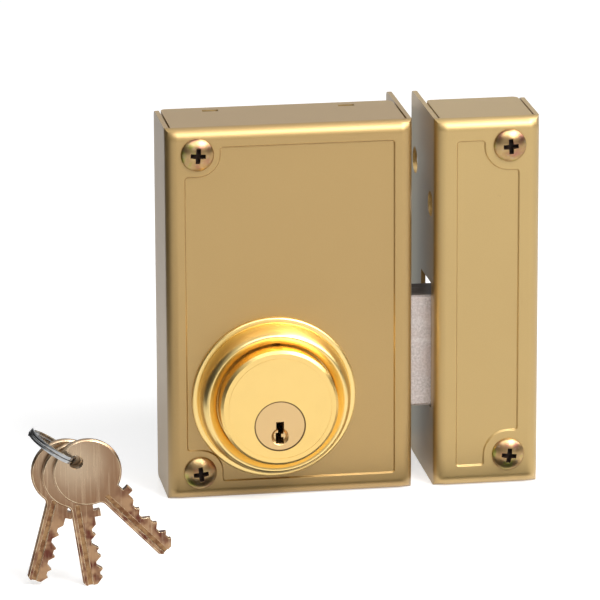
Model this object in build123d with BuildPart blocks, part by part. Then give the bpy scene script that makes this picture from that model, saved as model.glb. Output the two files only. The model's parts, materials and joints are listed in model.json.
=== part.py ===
from build123d import *
import os
from math import acos, asin, cos, pi, radians, sin, sqrt, tan

# A rim box lock that screws onto the inside of a door, with the strike box that
# takes its bolt and the three keys on their ring. It stands as it is photographed:
# the bolt is thrown across the gap into the strike.
#
# Millimetres. +X runs from the lock to the strike, +Y into the door, +Z up. The
# origin is the middle of the flange that the lock case stands on.

# Cases
case_width = 81.0
case_height = 125.0
case_depth = 30.0
case_lap_depth = 44.0
strike_gap = 7.3
strike_width = 34.8
strike_height = 124.6
strike_lap_depth = 45.5
sheet = 1.5
bend_radius = 4.0
corner_slit = 0.6
flange_corner_radius = 2.0

# Sunk front panels
panel_step = 0.6
panel_slope_angle = 35.0
case_panel_margin = 6.0
strike_panel_margin = 7.0
panel_corner_radius = 1.2
case_notch_radius = 7.3
strike_notch_radius = 8.0

# Front screws and the tubes they pass through
screw_side_inset = 10.3
case_screw_top_inset = 8.4
case_screw_bottom_inset = 9.4
strike_screw_top_inset = 9.0
strike_screw_bottom_inset = 10.6
screw_head_radius = 5.4
screw_head_height = 2.7
screw_head_rim = 0.6
screw_shank_radius = 2.5
screw_root_radius = 1.9
screw_reach = 14.0
screw_tip_length = 5.0
thread_pitch = 2.2
thread_length = 22.0
recess_span = 5.1
recess_slot = 1.6
recess_depth = 2.0
recess_taper_angle = 12.0
screw_clearance = 0.3
spacer_wall = 1.6

# Holes of the deep flanges, for screws into the edges of door and jamb
edge_hole_radius = 4.5
edge_hole_spacing = 80.0
edge_hole_inset = 7.0
locator_hole_radius = 4.3
locator_hole_y_inset = 9.8
locator_hole_drop = 30.0

# Back plate
plate_thickness = 1.5
plate_inset = 3.8
plate_clearance = 0.25
tab_width = 4.6
tab_inset = 18.0
tab_sink = 0.5
tab_slot_play = 0.35
tail_bore_radius = 12.0

# Cylinder
cylinder_side_inset = 34.8
cylinder_z = 34.1
head_radius = 19.35
shank_radius = 17.0
face_height = 14.1
tail_gap = 0.35
face_chamfer = 0.9
face_line_radius = 17.05
face_line_width = 0.25
face_line_depth = 0.15
plug_drop = 6.0
plug_head_radius = 8.25
plug_head_length = 2.0
plug_barrel_radius = 7.75
plug_recess = 0.25
running_clearance = 0.05

# Keyway and key blade
blade_height = 7.0
blade_thickness = 2.2
blade_clearance = 0.2
keyway_top = 1.4
keyway_stop = 2.5
ward_depth = 0.75
ward_height = 1.5
front_ward_drop = 1.25
back_ward_rise = 0.25
funnel_radius = 2.9
funnel_depth = 1.2
funnel_angle = 40.0
funnel_drop = 3.6

# Pin stacks
pin_count = 5
pin_pitch = 3.6
pin_first = 4.6
pin_radius = 1.4
pin_tip_radius = 0.5
pin_tip_length = 0.9
chamber_clearance = 0.08
cap_rise = 15.6
driver_length = 4.0
spring_radius = 1.25
spring_wall = 0.3
cap_length = 2.0
shear_gap = 0.1

# Rosette ring
ring_radius = 27.0
ring_lip_height = 1.2
ring_lip_chamfer = 0.4
ring_lip_width = 1.9
ring_groove_depth = 0.25
ring_crest_radius = 21.9
ring_crest_height = 8.9
ring_bulge = 1.1
ring_crest_width = 0.9
ring_mouth_chamfer = 1.1
ring_mouth_clearance = 0.4
ring_seat_height = 5.0
ring_bore_clearance = 0.3

# Clip behind the case that holds the cylinder
clip_thickness = 1.8
clip_groove_depth = 1.0
clip_radius = 21.0
clip_clearance = 0.05

# Bolt
bolt_height = 37.9
bolt_base_z = 26.2
bolt_front_inset = 8.0
brake_room = 1.2
bolt_head_length = 28.5
bolt_hidden_length = 8.0
bolt_chamfer = 0.8
tail_thickness = 5.5
tail_lead = 6.5
tail_drop = 2.0
rack_teeth = 12
rack_lead_teeth = 2
heel_gap = 1.0
bolt_clearance = 0.35
strike_slot_top = 4.0
strike_slot_bottom = 0.8
strike_slot_side = 0.5
strike_slot_back = 3.0

# Gear and rack: one turn of the key is the whole travel of the bolt
gear_module = 0.8
gear_teeth = 8
pressure_angle = 25.0
gear_addendum = 0.7
gear_dedendum = 0.68
rack_addendum = 0.48
rack_dedendum = 0.9
tooth_play = 0.12
gear_length = 5.1
gear_hub_length = 0.5
gear_hub_radius = 2.4
spigot_radius = 1.5
spigot_flat = 1.1
spigot_length = 6.0
spigot_clearance = 0.04
washer_radius = 9.5
washer_thickness = 1.0
washer_gap = 0.15
gear_screw_radius = 2.4
gear_screw_head = 1.0
gear_screw_slot = 0.5
gear_screw_shank = 0.7
gear_screw_depth = 3.5

# Guides of the bolt
bridge_width = 10.0
bridge_sheet = 1.5
bridge_foot = 7.0
bridge_lead = 9.0
bridge_bend_radius = 0.8
rivet_radius = 1.6
rivet_head_radius = 3.0
rivet_head_height = 1.0
rivet_clearance = 0.05
stud_radius = 2.5
stud_neck_radius = 1.5
stud_tail_radius = 1.8
stud_side_inset = 30.5
stud_drop = 7.6
stud_play = 0.2
stud_head_radius = 2.3
stud_head_height = 0.7
washer_play = 0.05
guide_washer_radius = 4.2
guide_washer_thickness = 1.0

# Brake spring
brake_sheet = 0.4
brake_width = 8.0
brake_gap = 0.1
brake_arch = 16.0
brake_crest_share = 0.4
brake_foot = 8.0
brake_side_inset = 20.0
brake_drop = 14.0
brake_head_height = 0.5

# Keys and their ring
bow_radius = 10.7
bow_bevel = 0.5
bow_hole_radius = 2.2
bow_hole_offset = 5.0
key_reach = 36.2
stop_reach = 14.4
stop_length = 2.2
stop_rise = 2.0
neck_radius = 2.0
key_gap = 0.3
cut_flat = 1.3
cut_flank_angle = 40.0
cut_depths = [1.5, 2.4, 1.0, 1.9, 1.3]
tip_top_chamfer = 2.6
tip_bottom_chamfer = 1.0
groove_lead = 9.6
front_key_tilt = 46.0
middle_key_tilt = 81.6
left_key_tilt = 104.7
key_ring_x = -80.4
key_ring_y = -95.0
key_shift = 0.8
split_ring_radius = 8.0
split_wire_radius = 0.4
split_pitch = 1.22
split_turns = 2
split_tilt = 34.0
split_start_angle = -200.0

# One overrun for all cuts
overrun = 1.0

# Places worked out from the sizes
left_x = -case_width / 2
right_x = case_width / 2
front_y = -case_depth / 2
back_y = case_depth / 2
strike_left_x = right_x + strike_gap
strike_right_x = strike_left_x + strike_width
panel_y = front_y + panel_step
plate_back_y = back_y - plate_inset
plate_front_y = plate_back_y - plate_thickness
cylinder_x = left_x + cylinder_side_inset
plug_z = cylinder_z - plug_drop
face_y = panel_y - face_height
seat_y = panel_y - ring_seat_height
plug_face_y = face_y + plug_recess
case_screw_x = left_x + screw_side_inset
case_screw_zs = [case_height - case_screw_top_inset, case_screw_bottom_inset]
strike_screw_x = strike_right_x - screw_side_inset
strike_screw_zs = [strike_height - strike_screw_top_inset, strike_screw_bottom_inset]
spacer_bore = screw_shank_radius + screw_clearance
spacer_radius = spacer_bore + spacer_wall
pitch_radius = gear_module * gear_teeth / 2
rack_z = plug_z + pitch_radius
bolt_travel = 2 * pi * pitch_radius
bolt_front_y = front_y + bolt_front_inset
bolt_back_y = plate_front_y - brake_room
bolt_thickness = bolt_back_y - bolt_front_y
bolt_top_z = bolt_base_z + bolt_height
head_left_x = right_x - bolt_hidden_length
tail_front_y = bolt_back_y - tail_thickness
washer_back_y = tail_front_y - tail_gap
plug_back_y = washer_back_y - washer_thickness
shank_y = plug_back_y - washer_gap
stud_x = left_x + stud_side_inset
tail_left_x = stud_x - tail_lead

os.makedirs("parts", exist_ok=True)


def facing(y):
    """A plane at this depth that faces the user: its x is X, its y is Z, its normal is -Y."""
    return Plane.XZ.offset(-y)


def save(part, label):
    """Labels a finished piece and writes it under its own name."""
    part.label = label
    export_step(part, f"parts/{label}.step")


# Folded cases


def panel_outline(low_x, high_x, height, margin, notch_radius, notches):
    """The outline of a sunk panel, stepped round each screw. A notch is (x, z, side, end)."""
    with BuildSketch() as outline:
        with Locations(((low_x + high_x) / 2, height / 2)):
            Rectangle(high_x - low_x - 2 * margin, height - 2 * margin)
        for x, z, side, end in notches:
            x_align = Align.MIN if side > 0 else Align.MAX
            z_align = Align.MIN if end > 0 else Align.MAX
            with Locations((x, z)):
                Circle(notch_radius, mode=Mode.SUBTRACT)
            with Locations((x, z - end * notch_radius)):
                Rectangle(height, height, align=(x_align, z_align), mode=Mode.SUBTRACT)
            with Locations((x - side * notch_radius, z)):
                Rectangle(height, height, align=(x_align, z_align), mode=Mode.SUBTRACT)
        edge_zs = (margin, height - margin)
        edge_xs = (low_x + margin, high_x - margin)
        corners = outline.vertices().filter_by(
            lambda v: any(abs(v.Y - z) < sheet / 2 for z in edge_zs)
            or any(abs(v.X - x) < sheet / 2 for x in edge_xs)
        )
        fillet(corners, radius=panel_corner_radius)
    return outline.sketch


def folded_case(low_x, high_x, height, lap_depth, lap_side, margin, notch_radius, screw_x, screw_zs):
    """A case pressed and folded from one sheet, open at the back, with one deep flange."""
    middle_x = (low_x + high_x) / 2
    width = high_x - low_x
    notch_side = -lap_side
    notches = [(screw_x, z, notch_side, 1 if z > height / 2 else -1) for z in screw_zs]
    lap_x = high_x if lap_side > 0 else low_x
    lap_y = front_y + lap_depth
    outline = panel_outline(low_x, high_x, height, margin, notch_radius, notches)
    with BuildPart() as case:
        # The block that the sheet wraps, bent round its front edges
        with BuildSketch(facing(back_y)):
            with Locations((middle_x, height / 2)):
                Rectangle(width, height)
        extrude(amount=case_depth)
        front = case.faces().sort_by(Axis.Y)[0]
        fillet(front.edges(), radius=bend_radius)
        offset(amount=-sheet, openings=case.faces().sort_by(Axis.Y)[-1])
        # The slits where the end flanges meet the side flanges
        slit_depth = case_depth - bend_radius
        for side_x, side in ((low_x, 1), (high_x, -1)):
            align = Align.MIN if side > 0 else Align.MAX
            with BuildSketch(facing(back_y)):
                with Locations((side_x + side * sheet, height / 2)):
                    Rectangle(corner_slit, height + overrun, align=(align, Align.CENTER))
            extrude(amount=slit_depth, mode=Mode.SUBTRACT)
        # The deep flange that laps the edge of the door or of the jamb
        with BuildSketch(Plane.YZ.offset(lap_x)):
            with Locations((back_y - bend_radius, height / 2)):
                Rectangle(lap_y - back_y + bend_radius, height, align=(Align.MIN, Align.CENTER))
        extrude(amount=-lap_side * sheet)
        # The rounded corners of the flanges
        corners = case.edges().filter_by(
            lambda e: abs(e.length - sheet) < corner_slit / 2
            and min(abs(e.center().Y - y) for y in (back_y, lap_y)) < corner_slit
        )
        fillet(corners, radius=flange_corner_radius)
        # The sunk panel, pressed so that the sheet keeps its thickness
        with BuildSketch(facing(front_y)):
            add(outline)
        extrude(amount=-panel_step, taper=panel_slope_angle, mode=Mode.SUBTRACT)
        with BuildSketch(facing(panel_y + sheet)):
            add(outline)
        extrude(amount=panel_step)
        # The holes of the front screws
        with BuildSketch(facing(panel_y + sheet)):
            with Locations(*[(screw_x, z) for z in screw_zs]):
                Circle(spacer_bore)
        extrude(amount=sheet + panel_step + overrun, mode=Mode.SUBTRACT)
        # The holes for screws into the edge of the door or of the jamb
        with BuildSketch(Plane.YZ.offset(lap_x + lap_side * overrun)):
            with Locations((lap_y - edge_hole_inset, height / 2)):
                with GridLocations(0, edge_hole_spacing, 1, 2):
                    Circle(edge_hole_radius)
        extrude(amount=-lap_side * (sheet + 2 * overrun), mode=Mode.SUBTRACT)
    return case.part


case_sheet = folded_case(
    left_x,
    right_x,
    case_height,
    case_lap_depth,
    1,
    case_panel_margin,
    case_notch_radius,
    case_screw_x,
    case_screw_zs,
)
tab_xs = [left_x + tab_inset, right_x - tab_inset]

with BuildPart() as case_shell:
    add(case_sheet)
    # The hole of the cylinder
    with BuildSketch(facing(panel_y + sheet)):
        with Locations((cylinder_x, cylinder_z)):
            Circle(shank_radius + ring_bore_clearance)
    extrude(amount=sheet + overrun, mode=Mode.SUBTRACT)
    # The slot of the bolt, through the deep flange
    with BuildSketch(Plane.YZ.offset(right_x + overrun)):
        with Locations(((bolt_front_y + bolt_back_y) / 2, (bolt_base_z + bolt_top_z) / 2)):
            Rectangle(bolt_thickness + 2 * bolt_clearance, bolt_height + 2 * bolt_clearance)
    extrude(amount=-(sheet + 2 * overrun), mode=Mode.SUBTRACT)
    # The slots that the tabs of the back plate hook into
    with BuildSketch(Plane.XY.offset(case_height + overrun)):
        with Locations(*[(x, plate_back_y - plate_thickness / 2) for x in tab_xs]):
            Rectangle(tab_width + 2 * tab_slot_play, plate_thickness + 2 * tab_slot_play)
    extrude(amount=-(case_height + 2 * overrun), mode=Mode.SUBTRACT)
save(case_shell.part, "case_shell")

strike_sheet = folded_case(
    strike_left_x,
    strike_right_x,
    strike_height,
    strike_lap_depth,
    -1,
    strike_panel_margin,
    strike_notch_radius,
    strike_screw_x,
    strike_screw_zs,
)
strike_slot_low_y = bolt_front_y - strike_slot_side
strike_slot_high_y = bolt_back_y + strike_slot_back
strike_slot_low_z = bolt_base_z - strike_slot_bottom
strike_slot_high_z = bolt_top_z + strike_slot_top

with BuildPart() as strike_shell:
    add(strike_sheet)
    # The slot that takes the bolt, with room for a door that has sagged
    with BuildSketch(Plane.YZ.offset(strike_left_x - overrun)):
        with Locations((strike_slot_low_y, strike_slot_low_z)):
            Rectangle(
                strike_slot_high_y - strike_slot_low_y,
                strike_slot_high_z - strike_slot_low_z,
                align=(Align.MIN, Align.MIN),
            )
    extrude(amount=sheet + 2 * overrun, mode=Mode.SUBTRACT)
    # The hole near the front that locates the flange in the press
    with BuildSketch(Plane.YZ.offset(strike_left_x - overrun)):
        with Locations((front_y + locator_hole_y_inset, strike_height - locator_hole_drop)):
            Circle(locator_hole_radius)
    extrude(amount=sheet + 2 * overrun, mode=Mode.SUBTRACT)
save(strike_shell.part, "strike_shell")


# Screws and their spacer tubes


def wood_screw():
    """A pan-head screw with a cross recess: its head stands on y = 0 and it points along +Y."""
    length = case_depth + screw_reach
    thread_start = length - screw_tip_length - thread_length
    turns = int(thread_length / thread_pitch)
    crest = thread_pitch / 4
    with BuildPart() as screw:
        with BuildSketch(Plane.XY):
            with BuildLine():
                Line((0, -screw_head_height), (0, length))
                points = [(0, length), (screw_root_radius, length - screw_tip_length)]
                for turn in range(turns):
                    y = length - screw_tip_length - turn * thread_pitch
                    points.append((screw_root_radius, y - crest))
                    points.append((screw_shank_radius, y - 2 * crest))
                    points.append((screw_root_radius, y - 3 * crest))
                points.append((screw_root_radius, thread_start))
                points.append((screw_shank_radius, thread_start - crest))
                points.append((screw_shank_radius, 0))
                points.append((screw_head_radius, 0))
                points.append((screw_head_radius, -screw_head_rim))
                Polyline(points)
                dome = screw_head_height - screw_head_rim
                dome_radius = (screw_head_radius**2 + dome**2) / (2 * dome)
                half_way = asin(screw_head_radius / dome_radius) / 2
                middle_y = dome_radius * (1 - cos(half_way)) - screw_head_height
                middle = (dome_radius * sin(half_way), middle_y)
                ThreePointArc((screw_head_radius, -screw_head_rim), middle, (0, -screw_head_height))
            make_face()
        revolve(axis=Axis.Y)
        # The cross recess
        with BuildSketch(facing(-screw_head_height)):
            Rectangle(recess_span, recess_slot)
            Rectangle(recess_slot, recess_span)
        extrude(amount=-recess_depth, taper=recess_taper_angle, mode=Mode.SUBTRACT)
    return screw.part


def screws_at(x, zs):
    """The two front screws of a case, in their places."""
    screw = wood_screw()
    with BuildPart() as pair:
        with Locations(*[(x, front_y, z) for z in zs]):
            add(screw)
    return pair.part


def spacers_at(x, zs):
    """The tubes between the front of a case and the door, round its two screws."""
    with BuildPart() as pair:
        with BuildSketch(facing(back_y)):
            with Locations(*[(x, z) for z in zs]):
                Circle(spacer_radius)
                Circle(spacer_bore, mode=Mode.SUBTRACT)
        extrude(amount=case_depth - sheet)
    return pair.part


save(screws_at(case_screw_x, case_screw_zs), "case_screws")
save(spacers_at(case_screw_x, case_screw_zs), "case_spacers")
save(screws_at(strike_screw_x, strike_screw_zs), "strike_screws")
save(spacers_at(strike_screw_x, strike_screw_zs), "strike_spacers")


# Cylinder


def turning_plane(x, z):
    """A plane for turned profiles: its x is the distance from this axis, its y is Y."""
    return Plane(origin=(x, 0, z), x_dir=(1, 0, 0), z_dir=(0, 0, 1))


def turning_axis(x, z):
    """The axis along Y of a turned piece."""
    return Axis((x, 0, z), (0, 1, 0))


def turned(x, z, points):
    """A turned piece from its half profile."""
    with BuildPart() as piece:
        with BuildSketch(turning_plane(x, z)):
            with BuildLine():
                Polyline(points, close=True)
            make_face()
        revolve(axis=turning_axis(x, z))
    return piece.part


ring_mouth_radius = head_radius + ring_mouth_clearance
ring_bore_radius = shank_radius + ring_bore_clearance
ring_dome_radius = ring_radius - ring_lip_width
ring_crest_y = panel_y - ring_crest_height

with BuildPart() as rosette_ring:
    with BuildSketch(turning_plane(cylinder_x, cylinder_z)):
        with BuildLine():
            lip_y = panel_y - ring_lip_height
            groove_y = lip_y + ring_groove_depth
            Polyline(
                (ring_dome_radius, groove_y),
                (ring_dome_radius + ring_groove_depth, lip_y),
                (ring_radius - ring_lip_chamfer, lip_y),
                (ring_radius, lip_y + ring_lip_chamfer),
                (ring_radius, panel_y),
                (ring_bore_radius, panel_y),
                (ring_bore_radius, seat_y),
                (ring_mouth_radius, seat_y),
                (ring_mouth_radius, ring_crest_y + ring_mouth_chamfer),
                (ring_crest_radius - ring_crest_width, ring_crest_y),
                (ring_crest_radius, ring_crest_y),
            )
            SagittaArc(
                (ring_crest_radius, ring_crest_y), (ring_dome_radius, groove_y), ring_bulge
            )
        make_face()
    revolve(axis=turning_axis(cylinder_x, cylinder_z))
save(rosette_ring.part, "rosette_ring")

groove_front_y = panel_y + sheet
groove_back_y = groove_front_y + clip_thickness + clip_clearance
groove_radius = shank_radius - clip_groove_depth
plug_head_back_y = plug_face_y + plug_head_length
bore_radius = plug_barrel_radius + running_clearance
mouth_radius = plug_head_radius + running_clearance
chamber_radius = pin_radius + chamber_clearance
pin_ys = [face_y + pin_first + i * pin_pitch for i in range(pin_count)]
pin_top_z = plug_z + sqrt(plug_barrel_radius**2 - chamber_radius**2) - shear_gap
driver_z = plug_z + bore_radius + shear_gap
spring_z = driver_z + driver_length
cap_z = cylinder_z + cap_rise - cap_length
keyway_width = blade_thickness + 2 * blade_clearance
keyway_height = blade_height + 2 * blade_clearance
keyway_z = plug_z + keyway_top - keyway_height / 2
blade_top_z = keyway_z + blade_height / 2


def pins_plane(z):
    """A level plane, where the pins stand in a row along Y."""
    return Plane.XY.offset(z)


pin_places = [(cylinder_x, y) for y in pin_ys]

body_blank = turned(
    cylinder_x,
    cylinder_z,
    [
        (0, face_y),
        (head_radius - face_chamfer, face_y),
        (head_radius, face_y + face_chamfer),
        (head_radius, seat_y),
        (shank_radius, seat_y),
        (shank_radius, groove_front_y),
        (groove_radius, groove_front_y),
        (groove_radius, groove_back_y),
        (shank_radius, groove_back_y),
        (shank_radius, shank_y),
        (0, shank_y),
    ],
)

with BuildPart() as cylinder_body:
    add(body_blank)
    # The bore of the plug, wider at its mouth for the plug's head
    with BuildSketch(facing(shank_y)):
        with Locations((cylinder_x, plug_z)):
            Circle(bore_radius)
    extrude(amount=shank_y - face_y, mode=Mode.SUBTRACT)
    with BuildSketch(facing(plug_head_back_y + running_clearance)):
        with Locations((cylinder_x, plug_z)):
            Circle(mouth_radius)
    extrude(amount=plug_head_back_y + running_clearance - face_y, mode=Mode.SUBTRACT)
    # The chambers of the driver pins, drilled in from above
    with BuildSketch(pins_plane(plug_z)):
        with Locations(*pin_places):
            Circle(chamber_radius)
    extrude(amount=cylinder_z - plug_z + head_radius, mode=Mode.SUBTRACT)
    # The fine line turned in the face
    with BuildSketch(facing(face_y)):
        with Locations((cylinder_x, cylinder_z)):
            Circle(face_line_radius)
            Circle(face_line_radius - face_line_width, mode=Mode.SUBTRACT)
    extrude(amount=-face_line_depth, mode=Mode.SUBTRACT)
save(cylinder_body.part, "cylinder_body")

plug_blank = turned(
    cylinder_x,
    plug_z,
    [
        (0, plug_face_y),
        (plug_head_radius, plug_face_y),
        (plug_head_radius, plug_head_back_y),
        (plug_barrel_radius, plug_head_back_y),
        (plug_barrel_radius, plug_back_y),
        (0, plug_back_y),
    ],
)


def half_flat_round(radius, flat):
    """The outline of a round bar with one flat above its centre."""
    with BuildSketch() as outline:
        Circle(radius)
        with Locations((0, flat)):
            Rectangle(2 * radius, radius, align=(Align.CENTER, Align.MIN), mode=Mode.SUBTRACT)
    return outline.sketch


spigot_outline = half_flat_round(spigot_radius, spigot_flat)
spigot_hole = half_flat_round(spigot_radius + spigot_clearance, spigot_flat + spigot_clearance)

with BuildPart() as plug:
    add(plug_blank)
    # The spigot with its flat, which turns the washer and the gear
    with BuildSketch(facing(plug_back_y + spigot_length)):
        with Locations((cylinder_x, plug_z)):
            add(spigot_outline)
    extrude(amount=spigot_length + overrun)
    # The thread hole of the gear's screw
    with BuildSketch(facing(plug_back_y + spigot_length)):
        with Locations((cylinder_x, plug_z)):
            Circle(gear_screw_shank + spigot_clearance)
    extrude(amount=gear_screw_depth, mode=Mode.SUBTRACT)
    # The keyway, with a ward on each side
    with BuildSketch(facing(plug_back_y - keyway_stop)):
        with Locations((cylinder_x, keyway_z)):
            Rectangle(keyway_width, keyway_height)
        ward = ward_height - 2 * blade_clearance
        with Locations((cylinder_x + keyway_width / 2, keyway_z - front_ward_drop)):
            Rectangle(ward_depth, ward, align=(Align.MAX, Align.CENTER), mode=Mode.SUBTRACT)
        with Locations((cylinder_x - keyway_width / 2, keyway_z + back_ward_rise)):
            Rectangle(ward_depth, ward, align=(Align.MIN, Align.CENTER), mode=Mode.SUBTRACT)
    extrude(amount=plug_back_y - keyway_stop - plug_face_y, mode=Mode.SUBTRACT)
    # The chambers of the key pins
    with BuildSketch(pins_plane(keyway_z)):
        with Locations(*pin_places):
            Circle(chamber_radius)
    extrude(amount=plug_z - keyway_z + plug_barrel_radius, mode=Mode.SUBTRACT)
    # The funnel that leads the key in
    with BuildSketch(facing(plug_face_y)):
        with Locations((cylinder_x, plug_z - funnel_drop)):
            Circle(funnel_radius)
    extrude(amount=-funnel_depth, taper=funnel_angle, mode=Mode.SUBTRACT)
save(plug.part, "plug")

# The pins stand as a key holds them, with the shear line free
with BuildPart() as key_pins:
    for y, depth in zip(pin_ys, cut_depths):
        foot_z = blade_top_z - depth + shear_gap
        with BuildSketch(Plane(origin=(cylinder_x, y, 0), x_dir=(1, 0, 0), z_dir=(0, -1, 0))):
            with BuildLine():
                Polyline(
                    (0, foot_z),
                    (pin_tip_radius, foot_z),
                    (pin_radius, foot_z + pin_tip_length),
                    (pin_radius, pin_top_z),
                    (0, pin_top_z),
                    close=True,
                )
            make_face()
        revolve(axis=Axis((cylinder_x, y, 0), (0, 0, 1)))
save(key_pins.part, "key_pins")

with BuildPart() as driver_pins:
    with BuildSketch(pins_plane(driver_z)):
        with Locations(*pin_places):
            Circle(pin_radius)
    extrude(amount=driver_length)
save(driver_pins.part, "driver_pins")

with BuildPart() as pin_springs:
    with BuildSketch(pins_plane(spring_z)):
        with Locations(*pin_places):
            Circle(spring_radius)
            Circle(spring_radius - spring_wall, mode=Mode.SUBTRACT)
    extrude(amount=cap_z - spring_z)
save(pin_springs.part, "pin_springs")

with BuildPart() as chamber_caps:
    with BuildSketch(pins_plane(cap_z)):
        with Locations(*pin_places):
            Circle(pin_radius)
    extrude(amount=cap_length)
save(chamber_caps.part, "chamber_caps")

with BuildPart() as cylinder_clip:
    with BuildSketch(facing(groove_front_y + clip_thickness)):
        with Locations((cylinder_x, cylinder_z)):
            Circle(clip_radius)
            Circle(groove_radius + clip_clearance, mode=Mode.SUBTRACT)
            Rectangle(
                2 * (groove_radius + clip_clearance),
                clip_radius,
                align=(Align.CENTER, Align.MIN),
                mode=Mode.SUBTRACT,
            )
    extrude(amount=clip_thickness)
save(cylinder_clip.part, "cylinder_clip")


# Gear, rack and bolt

gear_front_y = washer_back_y + gear_hub_length
gear_back_y = gear_front_y + gear_length
rack_pitch = pi * gear_module
half_tooth = rack_pitch / 4 - tooth_play / 2

with BuildPart() as plug_washer:
    with BuildSketch(facing(washer_back_y)):
        with Locations((cylinder_x, plug_z)):
            Circle(washer_radius)
            add(spigot_hole, mode=Mode.SUBTRACT)
    extrude(amount=washer_thickness)
save(plug_washer.part, "plug_washer")


def gear_tooth():
    """One involute tooth that points along +X from the gear's centre."""
    base_radius = pitch_radius * cos(radians(pressure_angle))
    root_radius = pitch_radius - gear_dedendum
    tip_radius = pitch_radius + gear_addendum
    half_angle = half_tooth / pitch_radius + tan(radians(pressure_angle)) - radians(pressure_angle)
    flank = []
    for share in (0, 1 / 3, 2 / 3, 1):
        radius = base_radius + share * (tip_radius - base_radius)
        roll = acos(base_radius / radius)
        angle = half_angle - tan(roll) + roll
        flank.append((radius * cos(angle), radius * sin(angle)))
    root = (root_radius * cos(half_angle), root_radius * sin(half_angle))
    with BuildSketch() as tooth:
        with BuildLine():
            Polyline((0, 0), root, flank[0])
            Spline(flank)
            mirrored = [(x, -y) for x, y in flank]
            ThreePointArc(flank[-1], (tip_radius, 0), mirrored[-1])
            Spline(mirrored)
            Polyline((0, 0), (root[0], -root[1]), mirrored[0])
        make_face()
    return tooth.sketch


tooth = gear_tooth()

with BuildPart() as drive_gear:
    with BuildSketch(facing(gear_back_y)):
        with Locations((cylinder_x, plug_z)):
            Circle(pitch_radius - gear_dedendum)
            with PolarLocations(0, gear_teeth, start_angle=90):
                add(tooth)
    extrude(amount=gear_length)
    with BuildSketch(facing(gear_front_y)):
        with Locations((cylinder_x, plug_z)):
            Circle(gear_hub_radius)
    extrude(amount=gear_hub_length)
    with BuildSketch(facing(gear_back_y)):
        with Locations((cylinder_x, plug_z)):
            add(spigot_hole)
    extrude(amount=gear_length + gear_hub_length, mode=Mode.SUBTRACT)
save(drive_gear.part, "drive_gear")

with BuildPart() as gear_screw:
    with BuildSketch(facing(gear_back_y + gear_screw_head)):
        with Locations((cylinder_x, plug_z)):
            Circle(gear_screw_radius)
    extrude(amount=gear_screw_head)
    with BuildSketch(facing(gear_back_y)):
        with Locations((cylinder_x, plug_z)):
            Circle(gear_screw_shank)
    extrude(amount=gear_back_y - plug_back_y - spigot_length + gear_screw_depth)
    with BuildSketch(facing(gear_back_y + gear_screw_head)):
        with Locations((cylinder_x, plug_z)):
            Rectangle(2 * gear_screw_radius, gear_screw_slot)
    extrude(amount=gear_screw_head / 2, mode=Mode.SUBTRACT)
save(gear_screw.part, "gear_screw")

rack_root_z = rack_z + rack_dedendum
rack_left_x = cylinder_x - rack_lead_teeth * rack_pitch
rack_right_x = rack_left_x + rack_teeth * rack_pitch
tail_top_z = bolt_top_z - tail_drop
stud_z = bolt_top_z - stud_drop
tooth_height = rack_addendum + rack_dedendum
tooth_base = 2 * (half_tooth + rack_dedendum * tan(radians(pressure_angle)))

with BuildPart() as bolt:
    # The head that crosses the gap
    with BuildSketch(facing(bolt_back_y)):
        with Locations((head_left_x, bolt_base_z)):
            Rectangle(bolt_head_length, bolt_height, align=(Align.MIN, Align.MIN))
    extrude(amount=bolt_thickness)
    free_end = bolt.edges().group_by(Axis.X)[-1]
    chamfer(free_end + bolt.edges().filter_by(Axis.X), length=bolt_chamfer)
    # The tail, with the heel that joins it to the head
    with BuildSketch(facing(bolt_back_y)):
        with Locations((tail_left_x, rack_root_z)):
            Rectangle(
                head_left_x - tail_left_x, tail_top_z - rack_root_z, align=(Align.MIN, Align.MIN)
            )
        heel_x = rack_right_x + heel_gap
        with Locations((heel_x, bolt_base_z + bolt_chamfer)):
            Rectangle(
                head_left_x - heel_x + bolt_chamfer,
                tail_top_z - bolt_base_z - bolt_chamfer,
                align=(Align.MIN, Align.MIN),
            )
        # The rack
        with Locations(*[(rack_left_x + (i + 0.5) * rack_pitch, rack_root_z) for i in range(rack_teeth)]):
            Trapezoid(
                tooth_base,
                tooth_height,
                90 - pressure_angle,
                rotation=180,
                align=(Align.CENTER, Align.MIN),
            )
    extrude(amount=tail_thickness)
    # The long slot that the guide stud runs in
    with BuildSketch(facing(bolt_back_y)):
        with Locations((stud_x + bolt_travel / 2, stud_z)):
            SlotCenterToCenter(bolt_travel, 2 * (stud_radius + stud_play))
    extrude(amount=tail_thickness, mode=Mode.SUBTRACT)
save(bolt.part, "bolt")


# Back plate, guides and brake

bridge_x = head_left_x - bridge_lead + bridge_width / 2
bridge_top_z = bolt_top_z + bolt_clearance
bridge_bottom_z = bolt_base_z - bolt_clearance
bridge_web_y = bolt_front_y - bolt_clearance
bridge_rivet_zs = [
    bridge_top_z + bridge_sheet + bridge_foot / 2,
    bridge_bottom_z - bridge_sheet - bridge_foot / 2,
]
brake_x = right_x - brake_side_inset
brake_z = bolt_top_z - brake_drop
rivet_hole_radius = rivet_radius + rivet_clearance
stud_hole_radius = stud_tail_radius + rivet_clearance

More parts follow.
